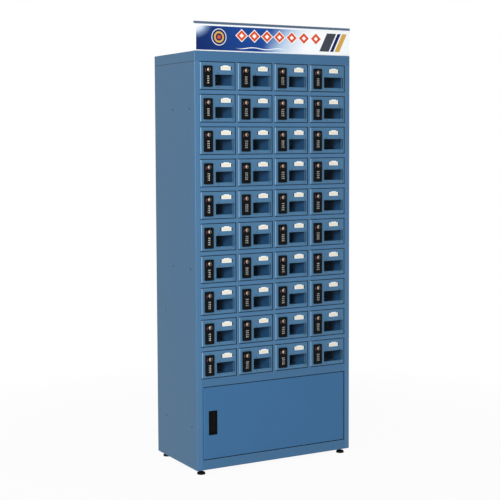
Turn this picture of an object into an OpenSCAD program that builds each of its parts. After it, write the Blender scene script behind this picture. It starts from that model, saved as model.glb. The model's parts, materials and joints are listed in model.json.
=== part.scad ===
// Phone locker cabinet: a folded steel body with a grid of small windowed doors, each with a
// combination lock, over one wide storage compartment, under a header sign.
// X runs right, Y runs back from the front and Z runs up; the feet stand on Z = 0.

/* [Cabinet body] */
// Depth of the body from its front face to its back
body_d = 396; // [320:1:480]
// Thickness of the steel sheet
sheet = 1.2; // [0.8:0.1:1.5]
// Outside radius of the folded vertical edges
bend_r = 3; // [2:0.5:4]
// Width of the left front stile
left_stile = 23.6; // [20:0.1:40]
// Width of the right front stile
right_stile = 26.9; // [20:0.1:40]
// How far the folded edges of the front run back into the body
front_return = 20; // [18:0.5:24]
// Height of the top cover, whose front is the rail over the top row
top_rail = 42.4; // [30:0.1:60]
// Height of the rail between two rows of doors
row_rail = 16.7; // [14:0.1:30]
// Height of the rail between the bottom row and the storage compartment
mid_rail = 34; // [20:0.5:60]
// Height of the rail under the storage door
base_rail = 42.3; // [30:0.1:70]
// Width of the V groove between the top cover and the side panels
seam_w = 1.6; // [0.6:0.1:1.8]
// How far the back panel laps up inside the top cover
back_lap = 18; // [10:1:30]
// How far the lip under the plinth reaches past the foot screws
foot_lip = 18; // [10:1:30]

/* [Compartments] */
// Number of compartments across
columns = 4; // [2:1:4]
// Number of compartments up
rows = 10; // [4:1:10]
// Width of a door opening
opening_w = 170.5; // [160:0.5:200]
// Height of a door opening
opening_h = 119.4; // [114:0.1:150]
// How much wider the last column is
last_column_extra = 12; // [0:1:20]
// Width of the upright between two door openings
mullion = 10.5; // [9:0.1:20]
// How far the bottom lip of a rail stops short of the shelf behind it
shelf_lip_gap = 2; // [1:0.5:6]
// Height of the storage opening
store_opening_h = 317; // [200:1:400]
// How much further in the left edge of the storage opening stands
store_jamb = 6.4; // [5:0.1:20]

/* [Doors and hinges] */
// Gap all round a closed door
door_gap = 2.2; // [1.3:0.1:2.6]
// Depth of the folded door pan
door_d = 16; // [12:0.5:17]
// Width of the lip round the back of a door pan
door_lip = 8; // [7:0.5:10]
// Radius of a hinge pin
pin_r = 2; // [1.5:0.1:2.2]
// Radial running clearance of a hinge pin in its door
pin_fit = 0.05; // [0.02:0.01:0.08]
// Distance of a hinge pin from the right edge of its door
pin_inset = 5; // [4:0.1:5.5]
// How far a hinge pin stands into its door
pin_reach = 3.2; // [2:0.1:6]
// How much wider in radius the shoulder of a lower hinge pin is
pin_shoulder = 1; // [0.5:0.1:1.5]

/* [Door window, plate and slots] */
// Left edge of the window from the left edge of the door
window_x = 70.9; // [66:0.1:76]
// Bottom edge of the window from the bottom edge of the door
window_z = 16.5; // [12:0.1:20]
// Width of the window
window_w = 88; // [85:0.5:88.5]
// Height of the window
window_h = 46.5; // [30:0.5:48]
// Thickness of the clear pane behind the window
pane_t = 2; // [1:0.1:3]
// How far the pane laps behind the door all round
pane_lap = 4; // [3:0.5:5]
// Distance of the left pane lugs from the left edge of the window
lug_x1 = 14.5; // [8:0.5:30]
// Distance of the right pane lugs from the left edge of the window
lug_x2 = 83; // [50:0.5:84]
// Width of a lug slot
lug_slot_w = 2.4; // [2:0.1:3]
// Height of a lug slot
lug_slot_h = 6.5; // [5:0.5:7]
// Width of the arms of the pane that carry the lugs
lug_arm_w = 6; // [4:0.5:10]
// Steel left between a lug slot and the window
lug_web = 2.5; // [1.5:0.1:3]
// Left edge of the number plate from the left edge of the door
plate_x = 98.4; // [92:0.1:104]
// Bottom edge of the number plate from the bottom edge of the door
plate_z = 81.8; // [77:0.1:86]
// Width of the number plate
plate_w = 46; // [40:0.5:54]
// Height of the number plate without its raised middle
plate_h = 16.5; // [12:0.5:22]
// Width of the raised middle of the number plate
bump_w = 25; // [15:0.5:30]
// Height of the raised middle of the number plate
bump_h = 3.5; // [2:0.5:6]
// Corner radius of the raised middle of the number plate
bump_r = 2; // [1:0.5:4]
// Thickness of the number plate
plate_t = 1; // [0.6:0.1:1.5]
// Height of the slot at each end of the number plate
plate_slot_h = 11; // [6:0.5:12]
// Width of the slot at each end of the number plate
plate_slot_w = 7; // [4:0.1:8]
// Length of the slots at the ends of the number plate that the plate covers
plate_lap = 1; // [0.9:0.1:2]
// Thickness of the tongues that hold the number plate
tongue_t = 0.7; // [0.5:0.1:0.9]
// How far the tongues reach behind the door sheet
tongue_reach = 2.7; // [1:0.1:5]

/* [Combination lock] */
// Left edge of the lock from the left edge of the door
lock_x = 14.8; // [12:0.1:20]
// Top edge of the lock below the top edge of the door
lock_drop = 15.5; // [12:0.1:20]
// Width of the lock case
lock_w = 41; // [38:0.5:44]
// Height of the lock case
lock_h = 89; // [84:0.5:92]
// How far the lock case stands out of the door
lock_proud = 9; // [6:0.5:11]
// How far the lock case reaches behind the door face
lock_back = 22; // [20:0.5:22]
// Corner radius of the lock case
lock_r = 3; // [2:0.5:6]
// Width of the step round the front of the lock case
lock_step = 1.2; // [0.6:0.1:1.8]
// How far the flange of the lock case laps over the door
lock_lap = 2; // [1.5:0.1:3]
// Number of dials
dials = 4; // [3:1:4]
// Radius of a dial
dial_r = 11; // [9:0.5:15]
// Height of a dial
dial_h = 6.8; // [5:0.1:7.2]
// Distance from one dial to the next
dial_pitch = 8.85; // [8.6:0.05:9.5]
// Distance of the middle of the top dial below the top of the lock
dial_drop = 44.8; // [42:0.1:46]
// How far a dial stands out of the lock case
dial_proud = 1.2; // [0.8:0.1:3]
// Width of the step at the ends of a dial's rim
dial_edge = 0.6; // [0.3:0.1:1]
// Radius of the arbor that the dials turn on
arbor_r = 3; // [2:0.1:4]
// Radius of the knob
knob_r = 8; // [6:0.1:9]
// Distance of the middle of the knob below the top of the lock
knob_drop = 17.5; // [14:0.1:20]
// How far the knob stands out of the lock case
knob_l = 14; // [8:0.5:18]
// Height of the wide disc at the root of the knob
knob_disc_h = 4.2; // [2:0.1:6]
// Height of the narrower disc that stands on it, from the same root
knob_step_h = 6.3; // [4:0.1:8]
// How much smaller in radius the narrower disc is
knob_step = 1; // [0.5:0.1:2]
// Width of the finger bar across the knob
knob_bar_w = 5.6; // [4:0.1:8]
// Radius of the knob spindle
spindle_r = 4; // [3:0.1:5]
// Length of the cam from the spindle to its tip
cam_l = 42; // [40:0.5:44]
// Width of the cam
cam_w = 12; // [9:0.5:14]
// Thickness of the cam
cam_t = 2; // [1.5:0.1:3]
// Left edge of the status recess from the left edge of the lock
mark_x = 4.8; // [3:0.1:6]
// Width of the status recess
mark_w = 5; // [3:0.1:6]
// Height of the status recess
mark_h = 13; // [8:0.5:16]
// Depth of the status recess
mark_d = 0.6; // [0.3:0.1:1]
// How far the middle of the status recess lies below the middle of the knob
mark_drop = 2.5; // [0:0.5:5]

/* [Storage door pull] */
// Left edge of the pull from the left edge of the storage door
pull_x = 24.1; // [20:0.1:60]
// Width of the pull
pull_w = 41; // [36:0.5:60]
// Height of the pull
pull_h = 105; // [80:1:140]
// Depth of the pull recess behind the door face
pull_d = 14; // [10:0.5:15]
// Width of the rim of the pull
pull_rim = 3; // [2:0.1:5]
// Corner radius of the rim of the pull
pull_r = 2; // [1:0.5:6]
// Thickness of the rim of the pull in front of the door
pull_lip = 0.8; // [0.5:0.1:2]
// Thickness of the walls and the floor of the pull
pull_wall = 1.5; // [1:0.1:2.5]

/* [Header sign] */
// Height of the sign over the body, with its rail
sign_h = 123; // [80:1:200]
// Thickness of the sign sheet
sign_t = 2; // [1.5:0.1:3]
// Set-back of the sign sheet from the front face
sign_y = 3; // [2.5:0.1:6]
// Depth of the foot flange of the sign
sign_foot = 42; // [25:1:80]
// Height of the clamping rail along the top of the sign
rail_h = 10; // [8:0.5:20]
// Thickness of the roof of the clamping rail
rail_roof = 2; // [1.5:0.1:3]
// Side wall of the clamping rail in front of and behind the sheet
rail_wall = 2.7; // [1.5:0.1:4]

/* [Feet and linking holes] */
// Height of the levelling feet under the body
foot_h = 22; // [20:0.5:40]
// Radius of a foot pad
foot_r = 18; // [14:0.5:24]
// Thickness of a foot pad
foot_pad = 11; // [8:0.5:12]
// Thickness of the edge of a foot pad
foot_edge = 3; // [2:0.5:5]
// How much wider in radius the collar of a foot is than its screw
foot_collar = 4; // [2:0.5:6]
// Radius of the levelling screw
screw_r = 5; // [4:0.5:5.5]
// How far the levelling screw stands up inside the body
screw_reach = 12; // [8:1:30]
// Radius of the lock nut over its corners
nut_r = 9.5; // [8:0.5:12]
// Height of the lock nut
nut_h = 6; // [4:0.5:8]
// Distance of a foot from the side of the body
foot_x = 32; // [28:0.5:60]
// Distance of a foot from the front and from the back of the body
foot_y = 27; // [27:0.5:60]
// Radius of the linking holes in the sides
link_r = 3.5; // [2.5:0.5:5]
// Distance of the front linking holes from the front face
link_front = 50; // [30:1:80]
// Distance of the middle linking holes from the front face
link_middle = 218; // [160:1:240]
// Distance of the rear linking holes from the front face
link_back = 302; // [260:1:310]
// Height of the lowest linking holes over the underside of the body
link_low = 182; // [120:1:300]
// Height of the single linking hole over the underside of the body
link_single = 656; // [560:1:700]
// Height of the middle linking holes over the underside of the body
link_mid = 861; // [760:1:900]
// Distance of the highest linking holes below the seam of the cover
link_drop = 197.6; // [100:0.1:250]

/* [Hidden] */
// Clearance between pieces of one door that are seated on each other
seat = 0.25;
// Clearance of the dials in the lock case, round the rim and at each end
dial_fit = 0.5;
dial_end_fit = 0.3;
// Clearance of a hinge pin behind the face of its door, and between the door and a pin's shoulder
pin_room = 0.6;
pin_end_fit = 0.3;
// Clearance of the screws in the plinth, of the lugs in their slots, and between divider and cover lip
screw_fit = 0.3;
lug_fit = 0.3;
divider_fit = 0.3;
// Clearance of the knob in front of the lock case and of the cam behind it
knob_fit = 0.3;
cam_fit = 0.4;
body_w = left_stile + columns * opening_w + last_column_extra + (columns - 1) * mullion + right_stile;
grid_h = rows * opening_h + (rows - 1) * row_rail;
body_h = base_rail + store_opening_h + mid_rail + grid_h + top_rail;
cover_z = body_h - top_rail;
front_w = body_w - left_stile - right_stile;
back_y = body_d - 2 * sheet;
proud = lock_proud + knob_l;
leaf_h = opening_h - 2 * door_gap;
store_x = left_stile + store_jamb;
store_w = body_w - right_stile - store_x;
store_leaf_w = store_w - 2 * door_gap;
store_leaf_h = store_opening_h - 2 * door_gap;
pull_z = (store_leaf_h - pull_h) / 2;
pin_y = sheet + pin_r + pin_room;
lock_z = leaf_h - lock_drop - lock_h;
dial_x = lock_x + lock_w / 2;
dial_y = dial_r - lock_proud - dial_proud;
knob_z = lock_z + lock_h - knob_drop;
cam_y = lock_back + cam_fit;
link_holes = concat(
    [[link_front, link_low], [link_back, link_low], [link_back, link_single]],
    [for (y = [link_front, link_middle]) for (z = [link_mid, cover_z - link_drop]) [y, z]]
);

// Left edge and width of the opening of column c, and bottom edge of the openings of row r
function col_x(c) = left_stile + c * (opening_w + mullion);
function col_w(c) = opening_w + (c == columns - 1 ? last_column_extra : 0);
function row_z(r) = cover_z - (r + 1) * opening_h - r * row_rail;
// Doors are numbered along each row from the top left
function door_name(n) = str("door_", n < 10 ? "0" : "", n);
function door_col(n) = (n - 1) % columns;
function door_row(n) = floor((n - 1) / columns);

// Puts the body's own corner, left front bottom, into the part's frame
module place() {
    translate([-body_w / 2, -(body_d - proud) / 2, foot_h]) children();
}

// Puts a door's left front bottom corner where door n hangs
module at_door(n) {
    place() translate([col_x(door_col(n)) + door_gap, 0, row_z(door_row(n)) + door_gap]) children();
}

// Outline, seen from above, whose two front corners are rounded
module rounded_front(w, d, r) {
    translate([r, 0]) square([w - 2 * r, d]);
    translate([0, r]) square([w, d - r]);
    for (x = [r, w - r]) translate([x, r]) circle(r, $fn = 48);
}

// Rounded rectangle in the plane of a door
module rounded_rect(w, h, r) {
    translate([r, 0]) square([w - 2 * r, h]);
    translate([0, r]) square([w, h - 2 * r]);
    for (x = [r, w - r]) for (y = [r, h - r]) translate([x, y]) circle(r, $fn = 48);
}

// Stands a flat outline up, facing the front, from y0 back to y1
module stand(y0, y1) {
    translate([0, y1, 0]) rotate([90, 0, 0]) linear_extrude(y1 - y0) children();
}

// Box from corner a to corner b
module block(a, b) {
    translate(a) cube(b - a);
}

// Folded door pan: rounded side edges, four flanges and a lip round the back
module door_pan(w, h) {
    difference() {
        linear_extrude(h) rounded_front(w, door_d, bend_r);
        translate([sheet, sheet, sheet]) linear_extrude(h - 2 * sheet)
            rounded_front(w - 2 * sheet, door_d - 2 * sheet, bend_r - sheet);
        block([door_lip, door_d - sheet - 1, door_lip], [w - door_lip, door_d + 1, h - door_lip]);
        translate([w - pin_inset, pin_y, -1]) cylinder(r = pin_r + pin_fit, h = h + 2, $fn = 32);
    }
}

// Corner piece: side sheet, rounded edge, front stile, return and strike lip, and a back flange
module side_panel(stile) {
    difference() {
        linear_extrude(cover_z) {
            translate([bend_r, 0]) square([stile - bend_r, body_d]);
            translate([0, bend_r]) square([stile, body_d - bend_r]);
            translate([bend_r, bend_r]) circle(bend_r, $fn = 48);
        }
        translate([0, 0, -1]) linear_extrude(cover_z + 2) {
            inner_r = bend_r - sheet;
            translate([bend_r, sheet]) square([stile - bend_r - sheet, front_return - 2 * sheet]);
            translate([sheet, bend_r]) square([stile - 2 * sheet, front_return - sheet - bend_r]);
            translate([bend_r, bend_r]) circle(inner_r, $fn = 48);
            translate([sheet, bend_r]) square([stile - sheet - door_lip, front_return]);
            translate([sheet, back_y]) square([stile, sheet]);
        }
        block([sheet, front_return, -1], [stile + 1, body_d - sheet, cover_z - sheet]);
        side_seam();
        for (h = link_holes)
            translate([-1, h[0], h[1]]) rotate([0, 90, 0]) cylinder(r = link_r, h = sheet + 2, $fn = 32);
    }
}

// V groove along the side where the cover meets the side panel
module side_seam() {
    edge = seam_w / sqrt(2);
    translate([0, body_d / 2, cover_z]) rotate([0, 45, 0]) cube([edge, body_d + 2, edge], center = true);
}

module side_panel_left() {
    color("steelblue") place() side_panel(left_stile);
}

module side_panel_right() {
    color("steelblue") place() translate([body_w, 0, 0]) mirror([1, 0, 0]) side_panel(right_stile);
}

// Flat sheet between the back flanges, lapping up inside the cover
module back_panel() {
    color("steelblue") place()
        block([sheet, back_y, 0], [body_w - sheet, body_d - sheet, cover_z + back_lap]);
}

// Cap over the top row: its front is the top rail, with a lip that carries the top hinge pins
module top_cover() {
    color("steelblue") place() difference() {
        translate([0, 0, cover_z]) linear_extrude(top_rail) rounded_front(body_w, body_d, bend_r);
        translate([sheet, sheet, cover_z + sheet]) linear_extrude(top_rail - 2 * sheet)
            rounded_front(body_w - 2 * sheet, front_return, bend_r - sheet);
        block([sheet, front_return, cover_z - 1], [body_w - sheet, body_d - sheet, body_h - sheet]);
        side_seam();
        translate([body_w, 0, 0]) mirror([1, 0, 0]) side_seam();
    }
}

// Plinth: the storage floor with turned-down walls and a lip underneath that takes the feet
module base_pan() {
    lip = foot_x + foot_lip;
    color("steelblue") place() difference() {
        block([sheet, front_return, 0], [body_w - sheet, back_y, base_rail]);
        block([2 * sheet, front_return + sheet, sheet],
              [body_w - 2 * sheet, back_y - sheet, base_rail - sheet]);
        block([lip, front_return + lip, -1], [body_w - lip, back_y - lip, 2 * sheet]);
        at_feet() translate([0, 0, -1]) cylinder(r = screw_r + screw_fit, h = 2 * sheet + 1, $fn = 32);
    }
}

// Base rail and left jamb of the storage opening, one welded channel
module storage_frame() {
    color("steelblue") place() difference() {
        union() {
            block([left_stile, 0, 0], [body_w - right_stile, front_return, base_rail]);
            block([left_stile, 0, 0], [store_x, front_return, base_rail + store_opening_h]);
        }
        block([left_stile - 1, sheet, sheet], [body_w, front_return + 1, base_rail - sheet]);
        block([left_stile - 1, sheet, 0],
              [store_x - sheet, front_return + 1, base_rail + store_opening_h + 1]);
    }
}

// Shelf under row r: its folded front is the rail, its bottom lip carries the pins of the door below
module shelf_tray(r) {
    z = row_z(r);
    front_h = r == rows - 1 ? mid_rail : row_rail;
    translate([left_stile, 0, z - front_h]) difference() {
        cube([front_w, front_return, front_h]);
        block([-1, sheet, sheet], [front_w + 1, front_return + 1, front_h - sheet]);
        block([-1, front_return - shelf_lip_gap, -1], [front_w + 1, front_return + 1, front_h - sheet]);
    }
    block([sheet, front_return, z - sheet], [body_w - sheet, back_y, z]);
}

module shelf_trays() {
    color("steelblue") place() for (r = [0 : rows - 1]) shelf_tray(r);
}

// Divider right of column c in row r: full-depth wall, mullion front and a strike lip for the next lock
module divider(c, r) {
    z0 = row_z(r);
    z1 = z0 + opening_h;
    z2 = r == 0 ? body_h - sheet : row_z(r - 1) - sheet;
    translate([col_x(c) + col_w(c), 0, 0]) {
        block([0, 0, z0], [mullion, sheet, z1]);
        block([0, 0, z0], [sheet, back_y, z1]);
        block([0, front_return + divider_fit, z1 - 1], [sheet, back_y, z2]);
        block([mullion - sheet, 0, z0], [mullion, front_return, z1]);
        block([mullion / 2, front_return - sheet, z0], [mullion, front_return, z1]);
    }
}

module column_dividers() {
    color("steelblue") place() for (r = [0 : rows - 1]) for (c = [0 : columns - 2]) divider(c, r);
}

// Lower and upper hinge pin of an opening; the lower one has a shoulder that keeps the door's gap
module pin_pair(x, z0, z1) {
    translate([x, pin_y, z0]) {
        cylinder(r = pin_r, h = door_gap + sheet + pin_reach, $fn = 32);
        cylinder(r = pin_r + pin_shoulder, h = door_gap - pin_end_fit, $fn = 32);
    }
    translate([x, pin_y, z1 - door_gap - sheet - pin_reach])
        cylinder(r = pin_r, h = door_gap + sheet + pin_reach, $fn = 32);
}

module hinge_pins() {
    from_edge = door_gap + pin_inset;
    color("silver") place() {
        for (r = [0 : rows - 1]) for (c = [0 : columns - 1])
            pin_pair(col_x(c) + col_w(c) - from_edge, row_z(r), row_z(r) + opening_h);
        pin_pair(store_x + store_w - from_edge, base_rail, base_rail + store_opening_h);
    }
}

module at_feet() {
    for (x = [foot_x, body_w - foot_x]) for (y = [foot_y, body_d - foot_y])
        translate([x, y, 0]) children();
}

// Levelling foot: domed pad, screw, and a lock nut drawn up against the plinth
module levelling_feet() {
    collar_r = screw_r + foot_collar;
    dome_r = min(foot_r - collar_r, foot_pad - foot_edge);
    color("black") place() at_feet() {
        translate([0, 0, -foot_h]) rotate_extrude($fn = 48) {
            square([screw_r, foot_h + screw_reach]);
            square([foot_r, foot_edge]);
            square([collar_r, foot_pad]);
            intersection() {
                translate([collar_r, foot_edge]) circle(dome_r, $fn = 48);
                translate([0, foot_edge]) square([foot_r, foot_pad]);
            }
        }
        translate([0, 0, -nut_h]) cylinder(r = nut_r, h = nut_h, $fn = 6);
    }
}

// Printed header sheet with a foot flange that stands on the cover
module sign_panel() {
    color("royalblue") place() translate([0, sign_y, body_h]) {
        cube([body_w, sign_t, sign_h - rail_roof]);
        cube([body_w, sign_foot, sign_t]);
    }
}

// Channel clamped along the top edge of the sign
module sign_rail() {
    slot = sign_t + 2 * seat;
    y = sign_y - seat - rail_wall;
    color("slategray") place() translate([0, y, body_h + sign_h - rail_h]) difference() {
        cube([body_w, slot + 2 * rail_wall, rail_h]);
        block([-1, rail_wall, -1], [body_w + 1, rail_wall + slot, rail_h - rail_roof]);
    }
}

module at_storage_door() {
    place() translate([store_x + door_gap, 0, base_rail + door_gap]) children();
}

module storage_door() {
    color("steelblue") at_storage_door() difference() {
        door_pan(store_leaf_w, store_leaf_h);
        block([pull_x + pull_rim, -1, pull_z + pull_rim],
              [pull_x + pull_w - pull_rim, sheet + 1, pull_z + pull_h - pull_rim]);
    }
}

// Moulded cup: flat rim on the door, walls through it, and a floor that rises towards the hinge
module storage_pull() {
    fit = pull_rim + seat;
    inner = fit + pull_wall;
    color("black") at_storage_door() translate([pull_x, 0, pull_z]) difference() {
        union() {
            stand(-pull_lip, 0) rounded_rect(pull_w, pull_h, pull_r);
            block([fit, -pull_lip, fit], [pull_w - fit, pull_d, pull_h - fit]);
        }
        translate([0, 0, inner]) linear_extrude(pull_h - 2 * inner) polygon([
            [inner, -pull_lip - 1], [pull_w - inner, -pull_lip - 1], [pull_w - inner, pull_d / 2],
            [pull_w / 2, pull_d - pull_wall], [inner, pull_d - pull_wall]
        ]);
    }
}

// Door leaf of column c with its cut-outs for the lock, window, pane lugs and number plate
module door_leaf(c) {
    w = col_w(c) - 2 * door_gap;
    glass_w = window_w + w - (opening_w - 2 * door_gap);
    difference() {
        door_pan(w, leaf_h);
        block([window_x, -1, window_z], [window_x + glass_w, sheet + 1, window_z + window_h]);
        block([lock_x + lock_lap, -1, lock_z + lock_lap],
              [lock_x + lock_w - lock_lap, sheet + 1, lock_z + lock_h - lock_lap]);
        at_lugs() cube([lug_slot_w, 4 * sheet, lug_slot_h], center = true);
        for (x = [plate_x - plate_slot_w + plate_lap, plate_x + plate_w - plate_lap])
            translate([x, -1, plate_z + (plate_h - plate_slot_h) / 2])
                cube([plate_slot_w, sheet + 2, plate_slot_h]);
    }
}

// Middles of the four pane lugs, in the thickness of the door sheet
module at_lugs() {
    out = lug_web + lug_slot_h / 2;
    for (x = [lug_x1, lug_x2]) for (z = [-out, window_h + out])
        translate([window_x + x, sheet / 2, window_z + z]) children();
}

// Clear pane behind the door sheet, with four lugs that reach into the door's slots
module window_pane(c) {
    glass_w = window_w + col_w(c) - opening_w;
    lap = pane_lap + lug_slot_h;
    translate([0, sheet + seat, 0]) {
        block([window_x - pane_lap, 0, window_z - pane_lap],
              [window_x + glass_w + pane_lap, pane_t, window_z + window_h + pane_lap]);
        for (x = [lug_x1, lug_x2])
            block([window_x + x - lug_arm_w / 2, 0, window_z - lap],
                  [window_x + x + lug_arm_w / 2, pane_t, window_z + window_h + lap]);
    }
    at_lugs() block([lug_fit - lug_slot_w / 2, -sheet / 2, lug_fit - lug_slot_h / 2],
                    [lug_slot_w / 2 - lug_fit, sheet / 2 + seat + pane_t, lug_slot_h / 2 - lug_fit]);
}

// Snap-on number plate with a raised middle and a tongue in each end slot
module number_plate() {
    tongue_h = plate_slot_h - 2 * seat;
    translate([plate_x, 0, plate_z]) {
        stand(-seat - plate_t, -seat) {
            square([plate_w, plate_h]);
            translate([(plate_w - bump_w) / 2, 0]) rounded_rect(bump_w, plate_h + bump_h, bump_r);
        }
        for (x = [0, plate_w - tongue_t])
            translate([x, -seat - plate_t, (plate_h - tongue_h) / 2])
                cube([tongue_t, plate_t + seat + sheet + tongue_reach, tongue_h]);
    }
}

// Lock case: stepped front, body through the door, dial pockets with their arbor, and spindle bore
module lock_body() {
    low = lock_h - dial_drop - (dials - 1) * dial_pitch;
    face_w = lock_w - 2 * lock_step;
    face_h = lock_h - 2 * lock_step;
    difference() {
        union() {
            translate([lock_x, 0, lock_z])
                stand(lock_step - lock_proud, -seat) rounded_rect(lock_w, lock_h, lock_r);
            translate([lock_x + lock_step, 0, lock_z + lock_step])
                stand(-lock_proud, -seat) rounded_rect(face_w, face_h, lock_r - lock_step);
            block([lock_x + lock_lap + seat, -1, lock_z + lock_lap + seat],
                  [lock_x + lock_w - lock_lap - seat, lock_back, lock_z + lock_h - lock_lap - seat]);
        }
        for (i = [0 : dials - 1])
            translate([dial_x, dial_y, lock_z + low + i * dial_pitch - dial_h / 2 - dial_end_fit])
                cylinder(r = dial_r + dial_fit, h = dial_h + 2 * dial_end_fit, $fn = 64);
        translate([dial_x, lock_back + 1, knob_z]) rotate([90, 0, 0])
            cylinder(r = spindle_r + pin_fit, h = lock_back + lock_proud + 2, $fn = 48);
        translate([lock_x + mark_x, -lock_proud - 1, knob_z - mark_drop - mark_h / 2])
            cube([mark_w, 1 + mark_d, mark_h]);
    }
    translate([dial_x, dial_y, lock_z + low - dial_pitch / 2])
        cylinder(r = arbor_r, h = dials * dial_pitch, $fn = 32);
}

// Dial i, counted from the top
module dial_wheel(i) {
    middle = lock_z + lock_h - dial_drop - (i - 1) * dial_pitch;
    translate([dial_x, dial_y, middle - dial_h / 2]) difference() {
        union() {
            cylinder(r = dial_r - dial_edge, h = dial_h, $fn = 64);
            translate([0, 0, dial_edge]) cylinder(r = dial_r, h = dial_h - 2 * dial_edge, $fn = 64);
        }
        translate([0, 0, -1]) cylinder(r = arbor_r + pin_fit, h = dial_h + 2, $fn = 32);
    }
}

// Thumb-turn, spindle and cam in one; the cam hangs down when unlocked
module thumb_turn() {
    head = lock_proud + knob_fit;
    step_r = knob_r - knob_step;
    translate([dial_x, 0, knob_z]) {
        rotate([90, 0, 0]) {
            translate([0, 0, head]) cylinder(r = knob_r, h = knob_disc_h, $fn = 64);
            translate([0, 0, head]) cylinder(r = step_r, h = knob_step_h, $fn = 64);
            intersection() {
                translate([0, 0, head]) cylinder(r = step_r, h = knob_l - knob_fit, $fn = 64);
                translate([-knob_bar_w / 2, -knob_r, head]) cube([knob_bar_w, 2 * knob_r, knob_l]);
            }
            translate([0, 0, -cam_y - cam_t]) cylinder(r = spindle_r, h = cam_y + cam_t + head, $fn = 48);
        }
        stand(cam_y, cam_y + cam_t) {
            translate([-cam_w / 2, cam_w / 2 - cam_l]) square([cam_w, cam_l - cam_w / 2]);
            for (z = [0, cam_w / 2 - cam_l]) translate([0, z]) circle(cam_w / 2, $fn = 48);
        }
    }
}

module lock_case() {
    color("dimgray") at_door(1) lock_body();
}

module lock_knob() {
    color("silver") at_door(1) thumb_turn();
}

module dial(i) {
    color("black") at_door(1) dial_wheel(i);
}

// Door n; the first one has its lock in nodes of its own
module door(n) {
    c = door_col(n);
    at_door(n) {
        color("steelblue") door_leaf(c);
        color("lightcyan") window_pane(c);
        color("white") number_plate();
        if (n > 1) {
            color("dimgray") lock_body();
            color("silver") thumb_turn();
            color("black") for (i = [1 : dials]) dial_wheel(i);
        }
    }
}

side_panel_left();
side_panel_right();
back_panel();
base_pan();
top_cover();
storage_frame();
shelf_trays();
column_dividers();
hinge_pins();
levelling_feet();
sign_panel();
sign_rail();
storage_door();
storage_pull();
lock_case();
lock_knob();
for (i = [1 : dials])
    dial(i);
for (n = [1 : columns * rows])
    door(n);
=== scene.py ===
import json

import bmesh
import bpy
import numpy as np
from bpy.props import FloatProperty, FloatVectorProperty, IntProperty, PointerProperty
from mathutils import Matrix, Vector


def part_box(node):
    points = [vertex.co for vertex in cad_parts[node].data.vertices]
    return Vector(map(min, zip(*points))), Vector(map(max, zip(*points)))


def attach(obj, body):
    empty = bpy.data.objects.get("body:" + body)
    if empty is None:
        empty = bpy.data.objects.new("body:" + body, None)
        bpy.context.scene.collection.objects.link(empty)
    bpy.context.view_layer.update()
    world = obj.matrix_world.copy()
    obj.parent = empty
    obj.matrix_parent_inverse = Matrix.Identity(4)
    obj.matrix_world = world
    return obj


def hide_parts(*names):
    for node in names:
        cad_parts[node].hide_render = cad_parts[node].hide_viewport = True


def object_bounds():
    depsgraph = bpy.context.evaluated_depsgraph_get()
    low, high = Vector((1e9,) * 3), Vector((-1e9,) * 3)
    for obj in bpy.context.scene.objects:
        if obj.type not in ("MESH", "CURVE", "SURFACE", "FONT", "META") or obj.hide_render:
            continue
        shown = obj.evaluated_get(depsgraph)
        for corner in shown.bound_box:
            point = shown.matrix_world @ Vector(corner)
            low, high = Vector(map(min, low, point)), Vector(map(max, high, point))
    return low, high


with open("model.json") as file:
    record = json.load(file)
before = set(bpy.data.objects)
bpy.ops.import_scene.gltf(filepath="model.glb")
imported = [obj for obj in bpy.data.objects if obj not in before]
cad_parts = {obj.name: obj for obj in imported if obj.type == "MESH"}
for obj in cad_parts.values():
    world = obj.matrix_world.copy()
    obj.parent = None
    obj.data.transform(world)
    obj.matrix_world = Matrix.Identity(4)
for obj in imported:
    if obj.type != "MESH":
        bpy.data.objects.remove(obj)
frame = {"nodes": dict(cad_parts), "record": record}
CAD_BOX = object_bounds()

bl_info = {
    "name": "Phone Locker Cabinet",
    "version": (1, 0, 0),
    "blender": (4, 5, 0),
    "location": "View3D > Sidebar > Locker",
    "description": "Dresses the steel cabinet: doors, windows, plates, locks, pull, sign, feet and stage",
    "category": "Object",
}

MM = 0.001
SEAT = 0.25 * MM  # from a piece to what it seats on
WELD, SAME_LINE = 2e-6, 1e-7  # metres within which points are one, and grid lines are one
BEVELLED = 0.9  # radians past which an edge is bevelled
DIALS, FIGURE_TURN = 4, 36  # dials in a lock, and degrees from one figure to the next
# The first mark is for the painted highlight along a door's left fold, the second for the painted shade on
# its flanges and its top and bottom folds
FOLD_HIGHLIGHT, FOLDED = 1.0, 2.0  # marks on the faces of a door
DOORS, COLUMNS = sorted(name for name in frame["nodes"] if name.startswith("door_")), 4
FRONT_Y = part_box("storage_door")[0].y


def length(name, text, *millimetres):
    """A size of the cabinet, or a few that belong together, kept in metres."""
    metres = [size * MM for size in millimetres]
    kind, value = (FloatProperty, metres[0]) if len(metres) == 1 else (FloatVectorProperty, metres)
    several = {} if kind is FloatProperty else {"size": len(metres)}
    return kind(name=name, description=text, default=value, unit="LENGTH", precision=4, **several)


def tint(name, text, red, green, blue):
    """A colour, written as the screen shows it and kept linear."""
    screen = np.array([red, green, blue]) / 255
    linear = tuple(np.where(screen <= 0.04045, screen / 12.92, ((screen + 0.055) / 1.055) ** 2.4))
    return FloatVectorProperty(name=name, description=text, default=linear, subtype="COLOR", min=0, max=1)


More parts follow.
